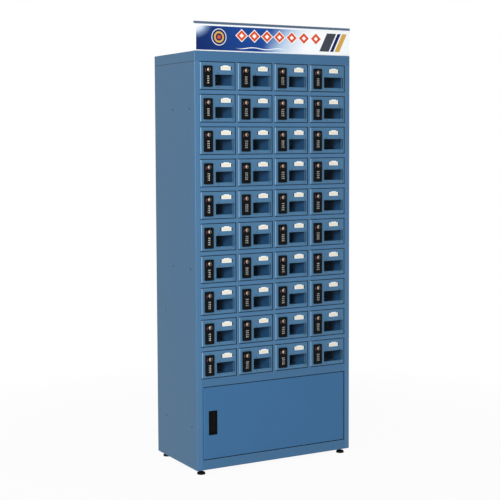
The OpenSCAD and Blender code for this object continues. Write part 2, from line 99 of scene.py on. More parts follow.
class LockerSizes(bpy.types.PropertyGroup):
    """Sizes of the pieces that are made here. Places are from the left bottom corner of the door, or
    of what is named, and depths from the face of the door."""

    sheet: length("Sheet", "Thickness of the door steel", 1.2)
    edge: length("Edge radius", "Radius of the folded side edges of a door", 3)
    fold: length("Fold radius", "Radius of the folded top and bottom edges of a door", 1.6)
    # The painted highlight along the left fold of a door is this wide; it stands for the light that the
    # rounded edge catches
    wear_and_highlight: length("Worn edge", "Width of the thin coat along the left fold of a door", 3.8)
    depth: length("Door depth", "Depth of the folded door pan", 16)
    lip: length("Door lip", "Width of the lip round the back of a door", 8)
    window: length("Window", "Left, bottom, space to the right edge, and height", 70.9, 16.5, 7.2, 46.5)
    pane: length("Pane", "Thickness, and how far it laps behind the door", 2, 4)
    lugs: length("Lugs", "Places of the two pairs of pane lugs from the window's left edge", 14.5, 83)
    lug: length("Lug slot", "Width, height, and steel between the slot and the window", 2.4, 6.5, 2.5)
    plate: length("Number plate", "Left, bottom, width, and height at its ends", 98.4, 81.8, 46, 16.5)
    plate_t: length("Plate thickness", "Thickness of the number plate", 1)
    tab: length("Plate tab", "Width and height of the raised middle of the plate", 25, 3.5)
    slot: length("Plate slot", "Width and height of the slot at each end of the plate", 7, 11)
    lock: length("Lock case", "Left, bottom, width and height", 14.8, 10.5, 41, 89)
    lock_y: length("Lock depth", "How far the case stands out, and how far it reaches back", 9, 22)
    lock_r: length("Lock corner", "Corner radius of the lock case", 3)
    flange: length("Lock flange", "How far the lock flange laps over the door", 2)
    dials: length("Dials", "Middle of the lowest in the lock, depth of the axis, and pitch", 17.65, 0.8, 8.85)
    dial: length("Dial", "Radius, height, and radius of the bore", 11, 6.8, 3.05)
    knob: length("Knob", "Height of its middle, radius, and how far it stands out", 82, 8, 23)
    cam: length("Cam", "Depth of its front, length over all, and width", 22.4, 42, 12)
    mark: length("Status mark", "Left, bottom, width and height in the lock", 4.8, 62.5, 5, 13)
    pull: length("Recessed pull", "Left, width, height and depth", 24.1, 41, 105, 14)
    sign: length("Header sign", "Thickness, radius of the fold over its foot, and white border", 2, 4, 10)
    pad: length("Foot pad", "Radius and height", 18, 11)
    screw: length("Foot screw", "Radius, and pitch of the thread", 5, 1.5)
    turns: IntProperty(name="Dial steps", description="Steps round a dial", default=40, min=20, max=80)


class LockerFinishes(bpy.types.PropertyGroup):
    """Colours of the finishes, as the screen shows them. The cover, side, inside, door fold, turned and deep
    tones are painted light or shade.
    """

    front: tint("Front paint", "Powder coat of the stiles, rails and uprights", 70, 114, 152)
    # Cover paint is a darker copy of the front paint, painted shade on the cover and on the front under the
    # grid
    shade: tint("Cover paint", "Powder coat of the cover and of the front under the grid", 60, 105, 143)
    door: tint("Door paint", "Powder coat of the small doors", 70, 114, 149)
    # Door folds: a painted highlight along the left fold of a door, for the light that the rounded edge
    # catches
    fold: tint("Door folds", "Thin, polished coat along the left fold of a door", 132, 172, 206)
    # Side paint is a greyer copy of the front paint: partly the sheets' own tone, partly painted shade for
    # how the light falls on the side
    side: tint("Side paint", "Powder coat of the outer side sheets", 36, 94, 132)
    storage: tint("Storage door", "Powder coat of the storage door", 50, 102, 146)
    # Inside paint is a bluer copy of the front paint, painted light on the walls inside the compartments
    inside: tint("Inside paint", "Powder coat inside the compartments", 49, 102, 152)
    # Turned edges is painted shade: a near-black blue on the returns in the gaps round the doors
    turned: tint("Turned edges", "Coat on the edges that are folded back into the gaps", 8, 18, 30)
    # Deep inside is painted shade on the walls deep in the compartments, where little light reaches
    deep: tint("Deep inside", "Coat on the walls deep inside the compartments", 10, 19, 30)
    seam: tint("Seam", "Shaded groove under the top cover", 24, 44, 66)
    rail: tint("Sign rail", "Coated rail along the top of the header", 82, 101, 123)
    case: tint("Lock case", "Moulded lock case", 6, 8, 12)
    dial: tint("Dials", "Moulded dials", 8, 8, 10)
    figures: tint("Figures", "Printed figures on the dials", 250, 248, 240)
    mark: tint("Status mark", "Enamelled mark beside the knob", 104, 56, 54)
    knob: tint("Knob", "Satin nickel of the knob's disc and cam", 204, 196, 186)
    grip: tint("Grip", "Darker grip across the knob", 86, 76, 68)
    steel: tint("Pins", "Dull steel of the pins and screws", 62, 66, 72)
    rubber: tint("Feet", "Black rubber of the foot pads", 14, 15, 16)
    pull: tint("Pull", "Moulded cup of the recessed pull", 8, 8, 9)
    plate: tint("Plate", "White border of the number plates", 246, 247, 244)
    card: tint("Card", "Card in the number plates", 236, 229, 210)
    pane: tint("Pane", "Clear acrylic of the windows", 60, 84, 104)
    navy: tint("Sign navy", "Dark end of the header print", 14, 36, 94)
    royal: tint("Sign blue", "Middle of the header print", 30, 78, 158)
    sky: tint("Sign sky", "Pale blue between the ground and its white end", 168, 196, 226)
    slate: tint("Sign slate", "Dark slanted bar of the header print", 66, 70, 80)
    orange: tint("Sign orange", "Lozenges of the header print", 222, 84, 40)
    gold: tint("Sign gold", "Rings of the header print", 214, 170, 84)
    paper: tint("Sign white", "Border and fading end of the header print", 252, 254, 255)


class Shape:
    """Surfaces of one piece, gathered as grids and caps and welded at the end."""

    def __init__(self):
        self.points, self.corners, self.sizes, self.paints, self.count = [], [], [], [], 0

    def add(self, points, cells, paint=0.0):
        """Adds points and the faces between them; each row of cells is one face."""
        self.points.append(points.reshape(-1, 3))
        self.corners.append((cells + self.count).ravel())
        self.sizes.append(np.full(len(cells), cells.shape[1]))
        self.paints.append(np.broadcast_to(np.float64(paint), len(cells)))
        self.count += points.size // 3

    def grid(self, points, keep=None, paint=0.0):
        """Adds a surface from rows x columns of points. Cell (i, j) is the quad between rows i
        and i + 1 and columns j and j + 1, keep says which cells there are and paint how each is marked."""
        rows, columns = points.shape[:2]
        i, j = np.meshgrid(np.arange(rows - 1), np.arange(columns - 1), indexing="ij")
        first = i * columns + j
        cells = np.stack([first, first + 1, first + columns + 1, first + columns], -1)
        keep = np.ones(i.shape, bool) if keep is None else keep
        self.add(points, cells[keep], np.broadcast_to(paint, i.shape)[keep])

    def rings(self, points, paint=0.0):
        """Adds a grid whose last column joins its first, such as a profile carried round a loop."""
        self.grid(np.concatenate([points, points[:, :1]], 1), paint=paint)

    def cap(self, ring, paint=0.0):
        """Closes a flat loop of points with one face."""
        self.add(ring, np.arange(len(ring))[None], paint)

    def prism(self, outline, y0, y1, paint=0.0):
        """Adds the solid over an outline in x and z, from y0 back to y1."""
        ends = np.stack([stand(outline, y0), stand(outline, y1)])
        self.rings(ends, paint)
        for end in ends:
            self.cap(end, paint)

    def box(self, low, high, paint=0.0):
        """Adds a box between two corners."""
        (x0, y0, z0), (x1, y1, z1) = low, high
        self.prism(rectangle(x0, z0, x1, z1), y0, y1, paint)

    def mesh(self, name, origin, wall, bevel, smooth):
        """Welds the surfaces, turns them outwards and gives them their wall and small bevels."""
        mesh = bpy.data.meshes.new(name)
        points, corners, sizes = (np.concatenate(part) for part in (self.points, self.corners, self.sizes))
        mesh.vertices.add(len(points))
        mesh.vertices.foreach_set("co", points.ravel())
        mesh.loops.add(len(corners))
        mesh.loops.foreach_set("vertex_index", corners)
        mesh.polygons.add(len(sizes))
        mesh.polygons.foreach_set("loop_start", np.concatenate([[0], np.cumsum(sizes)[:-1]]))
        mesh.update(calc_edges=True)
        mesh.attributes.new("paint", "FLOAT", "FACE").data.foreach_set("value", np.concatenate(self.paints))
        welded = bmesh.new()
        welded.from_mesh(mesh)
        bmesh.ops.remove_doubles(welded, verts=welded.verts, dist=WELD)
        bmesh.ops.dissolve_degenerate(welded, edges=welded.edges, dist=WELD)
        bmesh.ops.recalc_face_normals(welded, faces=welded.faces)
        welded.to_mesh(mesh)
        welded.free()
        mesh.transform(Matrix.Translation(origin))
        if wall or bevel:
            holder = bpy.data.objects.new(name, mesh)
            bpy.context.scene.collection.objects.link(holder)
            if wall:
                skin = holder.modifiers.new("wall", "SOLIDIFY")
                skin.thickness, skin.offset, skin.use_even_offset = wall, -1, True
            if bevel:
                edge = holder.modifiers.new("edge", "BEVEL")
                edge.width, edge.segments, edge.limit_method, edge.angle_limit = bevel, 2, "ANGLE", BEVELLED
            graph = bpy.context.evaluated_depsgraph_get()
            finished = bpy.data.meshes.new_from_object(holder.evaluated_get(graph))
            bpy.data.objects.remove(holder)
            bpy.data.meshes.remove(mesh)
            mesh = finished
            mesh.name = name
        mesh.polygons.foreach_set("use_smooth", np.ones(len(mesh.polygons), bool))
        mesh.set_sharp_from_angle(angle=smooth)
        return mesh

    def piece(self, name, body, slot, origin=(0, 0, 0), replaced=None, wall=0.0, bevel=0.0, smooth=0.6):
        """Makes the piece, gives it its finish and hangs it on its body, in the place of the node
        that is named or has the body's name."""
        mesh = self.mesh(name, origin, wall, bevel, smooth)
        mesh.materials.append(finish(slot))
        made = bpy.data.objects.new(name, mesh)
        bpy.context.scene.collection.objects.link(made)
        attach(made, body)
        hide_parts(replaced or body)
        return made


def stand(points, y):
    """Points in x and z, stood up at depth y."""
    return np.stack([points[..., 0], np.broadcast_to(y, points.shape[:-1]), points[..., 1]], -1)


def rectangle(x0, z0, x1, z1):
    """The corners of a box in x and z, once round."""
    return np.array([[x0, z0], [x1, z0], [x1, z1], [x0, z1]])


def once_round(steps):
    """Angles once round, without the last, which would repeat the first."""
    return np.linspace(0, 2 * np.pi, steps, endpoint=False)


def past(first, second, *steps):
    """Points of a profile, in millimetres past a first and a second measure."""
    return np.array(steps) * MM + (first, second)


def closed(profile):
    """A profile of (radius, height) with a point on its axis added at both ends."""
    return np.concatenate([[[0, profile[0, 1]]], profile, [[0, profile[-1, 1]]]])


def revolve(profile, steps, axis, centre=(0, 0, 0)):
    """A profile of (radius, height) turned round an axis: the point at angle a is
    (radius sin a, -radius cos a) across the axis and height along it."""
    a = once_round(steps)
    radius, height = np.asarray(profile).T[:, :, None]
    across, out = radius * np.sin(a), -radius * np.cos(a)
    along = height + 0 * a
    parts = (across, out, along) if axis == "z" else (across, along, -out)
    return np.stack(parts, -1) + np.asarray(centre)


class Outline:
    """A rounded rectangle: each point is a base on the inner rectangle plus a radius times its
    outward direction, so that the outline set in by i is base + (radius - i) x direction, held
    inside the rectangle set in by i."""

    def __init__(self, width, height, radius, xs=(), zs=(), steps=5):
        self.size, self.radius = np.array([width, height]), radius
        x0, x1, z0, z1 = radius, width - radius, radius, height - radius
        a = np.linspace(0, np.pi / 2, steps + 1)
        c, s = np.cos(a), np.sin(a)
        sides = [
            [(xs, z0), (0 * a + x1, z0), np.stack([s, -c], -1), (0, -1)],
            [(x1, zs), (0 * a + x1, z1), np.stack([c, s], -1), (1, 0)],
            [(xs[::-1], z1), (0 * a + x0, z1), np.stack([-s, c], -1), (0, 1)],
            [(x0, zs[::-1]), (0 * a + x0, z0), np.stack([-c, -s], -1), (-1, 0)],
        ]
        bases = [np.stack(np.broadcast_arrays(*part), -1) for side in sides for part in side[:2]]
        straight = [np.tile(side[3], (n, 1)) for side, n in zip(sides, [len(xs), len(zs)] * 2)]
        self.base = np.concatenate(bases)
        self.out = np.concatenate([part for line, side in zip(straight, sides) for part in (line, side[2])])

    def ring(self, inset):
        """The outline set in by inset."""
        at = self.base + max(self.radius - inset, 0) * self.out
        return np.clip(at, inset, self.size - inset)

    def sweep(self, profile):
        """Rings for a profile of (inset, depth)."""
        return np.stack([stand(self.ring(inset), y) for inset, y in profile])


def lines(*values):
    """Grid lines in order, each once."""
    ordered = np.sort(np.concatenate([np.atleast_1d(value) for value in values]))
    return ordered[np.concatenate([[True], np.diff(ordered) > SAME_LINE])]


def crossings(xs, zs):
    """The points in x and z where grid lines cross."""
    return np.stack(np.meshgrid(xs, zs), -1)


def inside(xs, zs, *boxes):
    """Which cells of a grid have their middle inside one of the boxes (x0, z0, x1, z1)."""
    middle = crossings((xs[1:] + xs[:-1]) / 2, (zs[1:] + zs[:-1]) / 2)
    return np.logical_or.reduce([((middle > box[:2]) & (middle < box[2:])).all(-1) for box in boxes])


def round_over(at, end, radius):
    """Depth of a rounded edge at distance at from one end of a span: r - sqrt(r^2 - (r - d)^2),
    where d is the distance to the nearer end, up to r."""
    short = radius - np.minimum(np.minimum(at, end - at), radius)
    return radius - np.sqrt(np.maximum(radius**2 - short**2, 0))


def edge_lines(radius, end, steps):
    """Lines over the rounded edges at both ends of a span."""
    arc = radius * (1 - np.cos(np.linspace(0, np.pi / 2, steps)))
    return np.concatenate([arc, end - arc])


def door_pan(size, width, height, holes):
    """A folded door pan without its wall: front y = round_over(x) + round_over(z) on a grid whose
    lines follow the edges and the holes, flanges back to the depth, and a lip on the same lines.
    The left fold is marked for a painted highlight, the flanges and the top and bottom folds FOLDED for
    painted shade."""
    lip, cut = size.lip, np.array(holes)
    xs = lines(edge_lines(size.edge, width, 6), cut[:, ::2].ravel(), [size.wear_and_highlight, lip, width - lip])
    zs = lines(edge_lines(size.fold, height, 4), cut[:, 1::2].ravel(), [lip, height - lip])
    at = crossings(xs, zs)
    front = stand(at, round_over(at[..., 0], width, size.edge) + round_over(at[..., 1], height, size.fold))
    back = stand(at, size.depth)
    # Cells of the left fold that get the painted highlight
    wear_and_highlight = inside(xs, zs, (size.edge * 0.05, size.fold, size.wear_and_highlight, height - size.fold))
    # The top and bottom folds are marked FOLDED as well, for painted shade on their rounding
    level = inside(xs, zs, (-1, size.fold, width + 1, height - size.fold))
    shape = Shape()
    shape.grid(front, ~inside(xs, zs, *holes), wear_and_highlight * FOLD_HIGHLIGHT + ~level * FOLDED)
    shape.grid(back, ~inside(xs, zs, (lip, lip, width - lip, height - lip)))
    loop = [np.concatenate([g[0], g[1:, -1], g[-1, -2::-1], g[-2:0:-1, 0]]) for g in (front, back)]
    shape.rings(np.stack(loop), FOLDED)
    return shape


def door_span(name):
    """Corner, width and height of a door in the closed cabinet."""
    low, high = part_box(name)
    return Vector((low.x, FRONT_Y, low.z)), high.x - low.x, high.z - low.z


def window(size, width):
    """The window's box (x0, z0, x1, z1) in its door."""
    x, z, right, h = size.window
    return x, z, width - right, z + h


def lug_boxes(size, width):
    """The four lug slots round the window."""
    x0, z0, _, z1 = window(size, width)
    w, h, web = size.lug
    return [(x0 + x - w / 2, z, x0 + x + w / 2, z + h) for x in size.lugs for z in (z0 - web - h, z1 + web)]


def small_leaf(size, width, height):
    """A small door with its window, lug slots, plate slots and lock hole."""
    (px, pz, pw, ph), (w, h) = size.plate, size.slot
    level = pz + (ph - h) / 2
    slots = [(x, level, x + w, level + h) for x in (px - w + MM, px + pw - MM)]
    (x, z, w, h), lap = size.lock, size.flange
    lock = (x + lap, z + lap, x + w - lap, z + h - lap)
    return door_pan(size, width, height, [window(size, width), lock, *lug_boxes(size, width), *slots])


def clear_pane(size, width):
    """The pane: a cell grid in x and z that keeps the glass and its four lug roots, as two faces
    and the wall between them, and a hook through each lug slot."""
    (x0, z0, x1, z1), lap = window(size, width), size.pane[1]
    reach, half, play = lap + size.lug[1], 3 * MM, 0.3 * MM
    roots = [(x0 + x - half, z0 - reach, x0 + x + half, z1 + reach) for x in size.lugs]
    parts = np.array([(x0 - lap, z0 - lap, x1 + lap, z1 + lap), *roots])
    xs, zs = lines(parts[:, ::2].ravel()), lines(parts[:, 1::2].ravel())
    front = size.sheet + SEAT
    shape, hooks = Shape(), Shape()
    shape.grid(stand(crossings(xs, zs), front), inside(xs, zs, *parts))
    for a, b, c, d in lug_boxes(size, width):
        hooks.box((a + play, 0.2 * MM, b + play), (c - play, front - 0.02 * MM, d - play))
    return shape, hooks


def number_plate(size):
    """A snap-on plate: an outline with a raised middle, rounded by curves through its corners,
    swept through a bevelled edge, a border and a shallow frame round the card, with a tongue
    through the slot at each end."""
    (_, _, w, h), (tab_w, tab_h), round_off = size.plate, size.tab, 1.6 * MM
    left, right, top = (w - tab_w) / 2, w - (w - tab_w) / 2, h + tab_h
    corners = np.array([[0, 0], [w, 0], [w, h], [right, h], [right, top], [left, top], [left, h], [0, h]])
    ways = [np.roll(corners, by, 0) - corners for by in (1, -1)]
    start, stop = [(corners + round_off * way / np.linalg.norm(way, axis=1, keepdims=True))[:, None]
                   for way in ways]
    t = np.linspace(0, 1, 5)[None, :, None]
    outline = ((1 - t) ** 2 * start + 2 * t * (1 - t) * corners[:, None] + t**2 * stop).reshape(-1, 2)
    card = np.clip(outline, [3 * MM, 2.6 * MM], [w - 3 * MM, h - 2.2 * MM])
    middle = np.array([w / 2, h / 2])
    border = middle + (outline - middle) * [1 - 0.5 * MM / w, 1 - 0.8 * MM / h]
    back, face = -SEAT, -SEAT - size.plate_t
    bevel, sunk = face + 0.25 * MM, face + 0.35 * MM
    shape = Shape()
    rings = np.stack([stand(*ring) for ring in (
        (outline, back), (outline, bevel), (border, face), (card, face), (card, sunk))])
    shape.cap(rings[0])
    shape.rings(rings)
    shape.cap(rings[-1], paint=1)
    tongue, thick = (h - size.slot[1]) / 2 + 0.3 * MM, 0.7 * MM
    for x in (0.1 * MM, w - 0.8 * MM):
        shape.box((x, back + 0.01 * MM, tongue), (x + thick, size.sheet + 2.7 * MM, h - tongue))
    return shape


def lock_case(size):
    """The case: a rounded outline swept from the back body over the flange and the stepped front,
    then a front grid whose cut cells lead into the dial pockets and the status recess. A pocket's
    wall is the arc x = R sin a, y = axis - R cos a behind the front."""
    (_, _, w, h), (out, deep), corner = size.lock, size.lock_y, size.lock_r
    (lowest, axis, pitch), (dial_r, dial_h, _) = size.dials, size.dial
    middle, half, pocket, front = w / 2, dial_h / 2 + 0.3 * MM, dial_r + 0.5 * MM, -out
    mouth = np.arccos((axis - front) / pocket)
    reach = pocket * np.sin(mouth)
    levels = lowest + pitch * np.arange(DIALS)
    mx, mz, mw, mh = size.mark
    mark = (mx, mz, mx + mw, mz + mh)
    holes = [(middle - reach, z - half, middle + reach, z + half) for z in levels] + [mark]
    cut = np.array(holes)
    xs = lines([corner, w - corner], cut[:, ::2].ravel())
    zs = lines([corner, h - corner], cut[:, 1::2].ravel())
    outline = Outline(w, h, corner, xs[1:-1], zs[1:-1])
    body = size.flange + SEAT
    rings = outline.sweep([
        (body, deep), (body, -SEAT), (0, -SEAT),
        *past(0, front, (0, 1.8), (0.15, 1.4), (0.5, 1.2), (1.2, 1.2), (1.2, 0.6), (1.35, 0.2), (1.8, 0)),
        (corner, front),
    ])
    shape = Shape()
    shape.rings(rings)
    shape.cap(rings[0])
    shape.grid(stand(crossings(xs, zs), front), ~inside(xs, zs, *holes))
    a = np.linspace(mouth, 2 * np.pi - mouth, 17)
    arc = np.stack([middle + pocket * np.sin(a), axis - pocket * np.cos(a)], -1)
    for z in levels:
        walls = np.stack([np.column_stack([arc, np.full(len(arc), end)]) for end in (z - half, z + half)])
        shape.grid(walls)
        for wall in walls:
            shape.cap(wall)
    recess = np.stack([stand(rectangle(*mark), y) for y in (front, front + 0.8 * MM)])
    shape.rings(recess)
    shape.cap(recess[1], paint=1)
    return shape


# The bars of a figure, each from corner (column, row) to corner, and the bars that each figure has
BARS = np.array([[0, 2, 1, 2], [1, 1, 1, 2], [1, 0, 1, 1], [0, 0, 1, 0],
                 [0, 0, 0, 1], [0, 1, 0, 2], [0, 1, 1, 1]])
FIGURES = ["012345", "12", "01643", "01623", "5612", "05623", "056234", "012", "0123456", "561023"]


def figure_bars(size, first, angles):
    """Raised bars of the figures round a dial. Bar k runs between two corners of a figure's box,
    widened by half a stroke, and is bent round the rim: x = R sin a, y = -R cos a."""
    stroke, wide, tall, (rim, height, _) = 0.7 * MM, 1.35 * MM, 1.4 * MM, size.dial
    chosen = [BARS[[int(bar) for bar in FIGURES[(first + step) % 10]]] for step in range(len(angles))]
    turn = np.repeat(angles, [len(bars) for bars in chosen])
    u0, v0, u1, v1 = np.concatenate(chosen).T.astype(float)
    left, right = (2 * u0 - 1) * wide - stroke, (2 * u1 - 1) * wide + stroke
    low, high = (v0 - 1) * tall - stroke, (v1 - 1) * tall + stroke
    a = turn[:, None] + np.stack([left, right, right, left], -1) / rim
    z = height / 2 + np.stack([low, low, high, high], -1)
    layers = [np.stack([r * np.sin(a), -r * np.cos(a), z], -1) for r in (rim - 0.1 * MM, rim + 0.12 * MM)]
    points = np.concatenate(layers, 1)
    cell = np.array([[4, 5, 6, 7], [0, 1, 5, 4], [1, 2, 6, 5], [2, 3, 7, 6], [3, 0, 4, 7], [3, 2, 1, 0]])
    return points, (8 * np.arange(len(points))[:, None, None] + cell).reshape(-1, 4)


def dial(shape, size, level, first, angles):
    """A dial: a profile turned round its upright axis, its rim waisted between the figures, and
    the figures raised on it."""
    (x, z, w, _), (r, h, bore) = size.lock, size.dial
    centre = np.array([x + w / 2, size.dials[1], z + level - h / 2])
    low = past(r, 0, (-0.9, 0), (-0.3, 0.25), (0, 0.8))
    high = past(r, h, (0, -0.8), (-0.3, -0.25), (-0.9, 0))
    body = revolve(np.concatenate([[(bore, 0)], low, high, [(bore, h), (bore, 0)]]), size.turns, "z")
    crest = np.abs(np.cos(5 * once_round(size.turns))) > 0.97
    waist = np.where(crest, 1, 1 - 0.45 * MM / r)
    share = np.array([0, 0.3, 1, 1, 1, 1, 0.3, 0, 0])[:, None]
    body[..., :2] *= (1 - share * (1 - waist))[..., None]
    shape.rings(body + centre)
    points, cells = figure_bars(size, first, angles)
    shape.add(points + centre, cells, paint=1)


def thumb_turn(size):
    """The thumb-turn: a fluted disc turned round its axis, a grip that is the same turn with x
    held between two flats, the spindle behind it, and a cam with round ends."""
    (x, _, w, _), (z, r, tip), (cam_y, cam_l, cam_w) = size.lock, size.knob, size.cam
    centre, head, flutes = (x + w / 2, 0, z), size.lock_y[0] + 0.3 * MM, 24
    shape = Shape()
    disc = past(r, -head, (-0.3, 0), (0, -0.4), (0, -3.8), (-0.4, -4.2), (-1, -4.3), (-1.2, -6), (-1.7, -6.3))
    disc = revolve(closed(disc), 2 * flutes, "y")
    disc[2:4, :, ::2] *= (1 - 0.03 * (np.arange(2 * flutes) % 2))[:, None]
    shape.rings(disc + centre)
    grip = np.concatenate([past(r, -head, (-1.1, -5)), past(r, -tip, (-1.1, 1.6), (-1.5, 0.5), (-2.3, 0))])
    grip = revolve(closed(grip), 32, "y")
    flat = np.array([2.8, 2.8, 2.5, 2.3, 1.9, 1.9])[:, None] * MM
    grip[..., 0] = np.clip(grip[..., 0], -flat, flat)
    shape.rings(grip + centre, paint=1)
    spindle = np.concatenate([past(0, -head, (4, -1)), past(0, cam_y, (4, 1.6), (3.6, 1.98))])
    shape.rings(revolve(closed(spindle), 24, "y", centre))
    half = cam_w / 2
    a = np.linspace(0, np.pi, 13)
    cam = np.concatenate([np.column_stack([half * np.cos(a), half * np.sin(a)]),
                          np.column_stack([-half * np.cos(a), cam_w - cam_l - half * np.sin(a)])])
    shape.prism(cam + [x + w / 2, z], cam_y, cam_y + 2 * MM)
    return shape


def pull_cup(size):
    """The recessed pull: rim, walls and floor as one profile round a rounded rectangle. The floor's
    depth falls from the full depth to half of it across the right half of the recess."""
    (_, w, h, deep), floor_edge, flat_from, skin = size.pull, 4.75 * MM, 6.5 * MM, 1.5 * MM
    outline = Outline(w, h, 2 * MM, np.linspace(5, 36, 7) * MM, np.linspace(5, 100, 5) * MM, steps=4)
    body = 3.25 * MM
    outer = outline.sweep([(body, deep), (body, 0), *past(
        0, 0, (0, 0), (0, -0.5), (0.3, -0.8), (3, -0.8), (3.8, -0.5), (4.4, 0.3), (4.75, 1.5))])
    floor = []
    for inset in np.array([4.75, 5.2, 6.5, 10, 15, 20.5]) * MM:
        ring = outline.ring(inset)
        rise = np.clip((ring[:, 0] - w / 2) / (w / 2 - floor_edge), 0, 1)
        edge = 1.8 * MM * np.clip((flat_from - inset) / (flat_from - floor_edge), 0, 1) ** 2
        floor.append(stand(ring, deep - skin - (deep / 2 - skin) * rise - edge))
    shape = Shape()
    shape.rings(np.concatenate([outer, floor]))
    shape.cap(outer[0])
    return shape


def foot(shape, size, x, y, z):
    """A levelling foot: a domed pad and a threaded screw as one turned profile, whose thread is a
    zigzag of the radius, and a six-sided lock nut."""
    (r, pad), (screw, pitch), centre = size.pad, size.screw, (x, y, z)
    a = np.linspace(0, np.pi / 2, 7)
    neck, rim_z = screw + 4 * MM, 3 * MM
    dome = np.column_stack([neck + (r - neck) * np.cos(a), rim_z + (pad - rim_z) * np.sin(a)])
    dome = np.concatenate([past(r, 0, (-4, 0.6), (-3, 0), (-0.8, 0), (0, 0.8)), dome,
                           past(screw, pad, (0.5, 0), (0.2, -0.5))])
    shape.rings(revolve(closed(dome), 36, "z", centre))
    level = np.arange(pad - MM, 33 * MM, pitch / 2)
    radius = screw - 0.45 * MM * (np.arange(len(level)) % 2)
    shape.rings(revolve(closed(np.column_stack([radius, level])), 20, "z", centre), paint=1)
    nut = past(0, 0, (8.6, 16.2), (9.4, 16.8), (9.4, 21.4), (8.6, 21.95))
    shape.rings(revolve(closed(nut), 6, "z", centre), paint=1)


def math_method(operation, swapped=False):
    """A method that adds the Math node of an operation, with its two values swapped where asked."""
    return lambda self, *others: self.math(operation, *((*others, self) if swapped else (self, *others)))


class Value:
    """A socket in a sum: the operators add the Math nodes that work the sum out."""

    def __init__(self, recipe, socket):
        self.recipe, self.socket = recipe, socket

    def math(self, operation, *values):
        return self.recipe.node("ShaderNodeMath", {"operation": operation}, dict(enumerate(values)))

    __add__ = __radd__ = math_method("ADD")
    __mul__ = __rmul__ = math_method("MULTIPLY")
    __sub__, __rsub__ = math_method("SUBTRACT"), math_method("SUBTRACT", swapped=True)
    __truediv__, __rtruediv__ = math_method("DIVIDE"), math_method("DIVIDE", swapped=True)
    __pow__, __abs__ = math_method("POWER"), math_method("ABSOLUTE")
    least, most = math_method("MINIMUM"), math_method("MAXIMUM")
    fraction, sine = math_method("FRACT"), math_method("SINE")

    def fade(self, low, high):
        """0 at low and 1 at high, held between them; low may be the larger."""
        settings = {"interpolation_type": "SMOOTHSTEP"}
        return self.recipe.node("ShaderNodeMapRange", settings, {0: self, 1: low, 2: high, 3: 0.0, 4: 1.0})

    def band(self, low, high, soft):
        """1 between low and high, fading to 0 over a width of soft at each end."""
        return self.fade(low, low + soft) * self.fade(high, high - soft)


class Recipe:
    """A finish worked out in nodes, for a material or the world."""

    def __init__(self, owner):
        owner.use_nodes = True
        self.owner, self.tree = owner, owner.node_tree
        self.tree.nodes.clear()

    def node(self, kind, settings=None, sockets=None, output=0):
        """Adds a node: its settings first, then the values or links of its sockets."""
        made = self.tree.nodes.new(kind)
        for key, value in (settings or {}).items():
            setattr(made, key, value)
        for key, value in (sockets or {}).items():
            if isinstance(value, Value):
                self.tree.links.new(value.socket, made.inputs[key])
            else:
                made.inputs[key].default_value = value
        return Value(self, made.outputs[output])

    def place(self):
        """Object coordinates, and their three parts in metres."""
        at = self.node("ShaderNodeTexCoord", output="Object")
        return (at, *(self.node("ShaderNodeSeparateXYZ", None, {0: at}, i) for i in range(3)))

    def noise(self, at, scale, detail=2.0, rough=0.5):
        sockets = {"Vector": at, "Scale": scale, "Detail": detail, "Roughness": rough}
        return self.node("ShaderNodeTexNoise", None, sockets)

    def stretched(self, at, x, y, z):
        """Coordinates scaled by a different number along each axis."""
        return self.node("ShaderNodeVectorMath", {"operation": "MULTIPLY"}, {0: at, 1: (x, y, z)})

    def mix(self, share, first, second):
        """Colour between first and second."""
        pair = {k: v if isinstance(v, Value) else (*v, 1) for k, v in ((6, first), (7, second))}
        return self.node("ShaderNodeMix", {"data_type": "RGBA"}, {0: share, **pair}, 2)

    def vary(self, share, colour, low, high):
        """A colour between two of its tones."""
        return self.mix(share, toned(colour, low), toned(colour, high))

    def painted(self):
        """The piece's own mark for a second colour."""
        return self.node("ShaderNodeAttribute", {"attribute_name": "paint"}, output="Fac")

    def bump(self, height, strength, distance):
        sockets = {"Strength": strength, "Distance": distance, "Height": height}
        return self.node("ShaderNodeBump", None, sockets)

    def finish(self, colour, roughness, normal=None, metallic=0.0, specular=0.5, alpha=1.0):
        """Joins the values to the surface's shader."""
        sockets = {"Base Color": colour, "Roughness": roughness, "Metallic": metallic,
                   "Specular IOR Level": specular, "Alpha": alpha}
        if normal is not None:
            sockets["Normal"] = normal
        self.end(self.node("ShaderNodeBsdfPrincipled", None, sockets))

    def end(self, shader, kind="Material"):
        """Hands the shader to the output."""
        made = self.tree.nodes.new("ShaderNodeOutput" + kind)
        self.tree.links.new(shader.socket, made.inputs[0])


def toned(colour, factor):
    """A colour made lighter or darker."""
    return tuple(min(1.0, part * factor) for part in colour)


def powder_coat(recipe, colour, zones):
    """Powder-coated sheet: tone drifts over a hand's width, fine speckle, and an orange peel of
    about a millimetre in the bump and the gloss. Each zone is a mask and the colour under it;
    several zones are painted shade or a painted highlight."""
    at, *place = recipe.place()
    cloud, peel, speck = recipe.noise(at, 5, 3), recipe.noise(at, 850, 2), recipe.noise(at, 2600, 1)
    shade = recipe.vary(cloud, colour, 0.94, 1.06)
    for mask, tone in zones:
        shade = recipe.mix(mask(recipe, *place), shade, recipe.vary(cloud, tone, 0.95, 1.05))
    shade = recipe.mix((speck - 0.62).fade(0, 0.1) * 0.3, shade, toned(colour, 1.3))
    gloss = 0.27 + cloud * 0.06 + peel * 0.06
    recipe.finish(shade, gloss, recipe.bump(peel, 0.25, 0.00006), specular=0.35)


# The masks read these planes: the outer side sheets, the inner edge of a stile, the underside of the
# cover's front and the foot of the last row of doors
SIDE_X = CAD_BOX[1][0] - 0.6 * MM
STILE_X = -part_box("side_panel_left")[1].x
COVER_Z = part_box("top_cover")[0].z
GRID_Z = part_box(DOORS[-1])[0].z - 4 * MM
BACK_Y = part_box("back_panel")[1].y


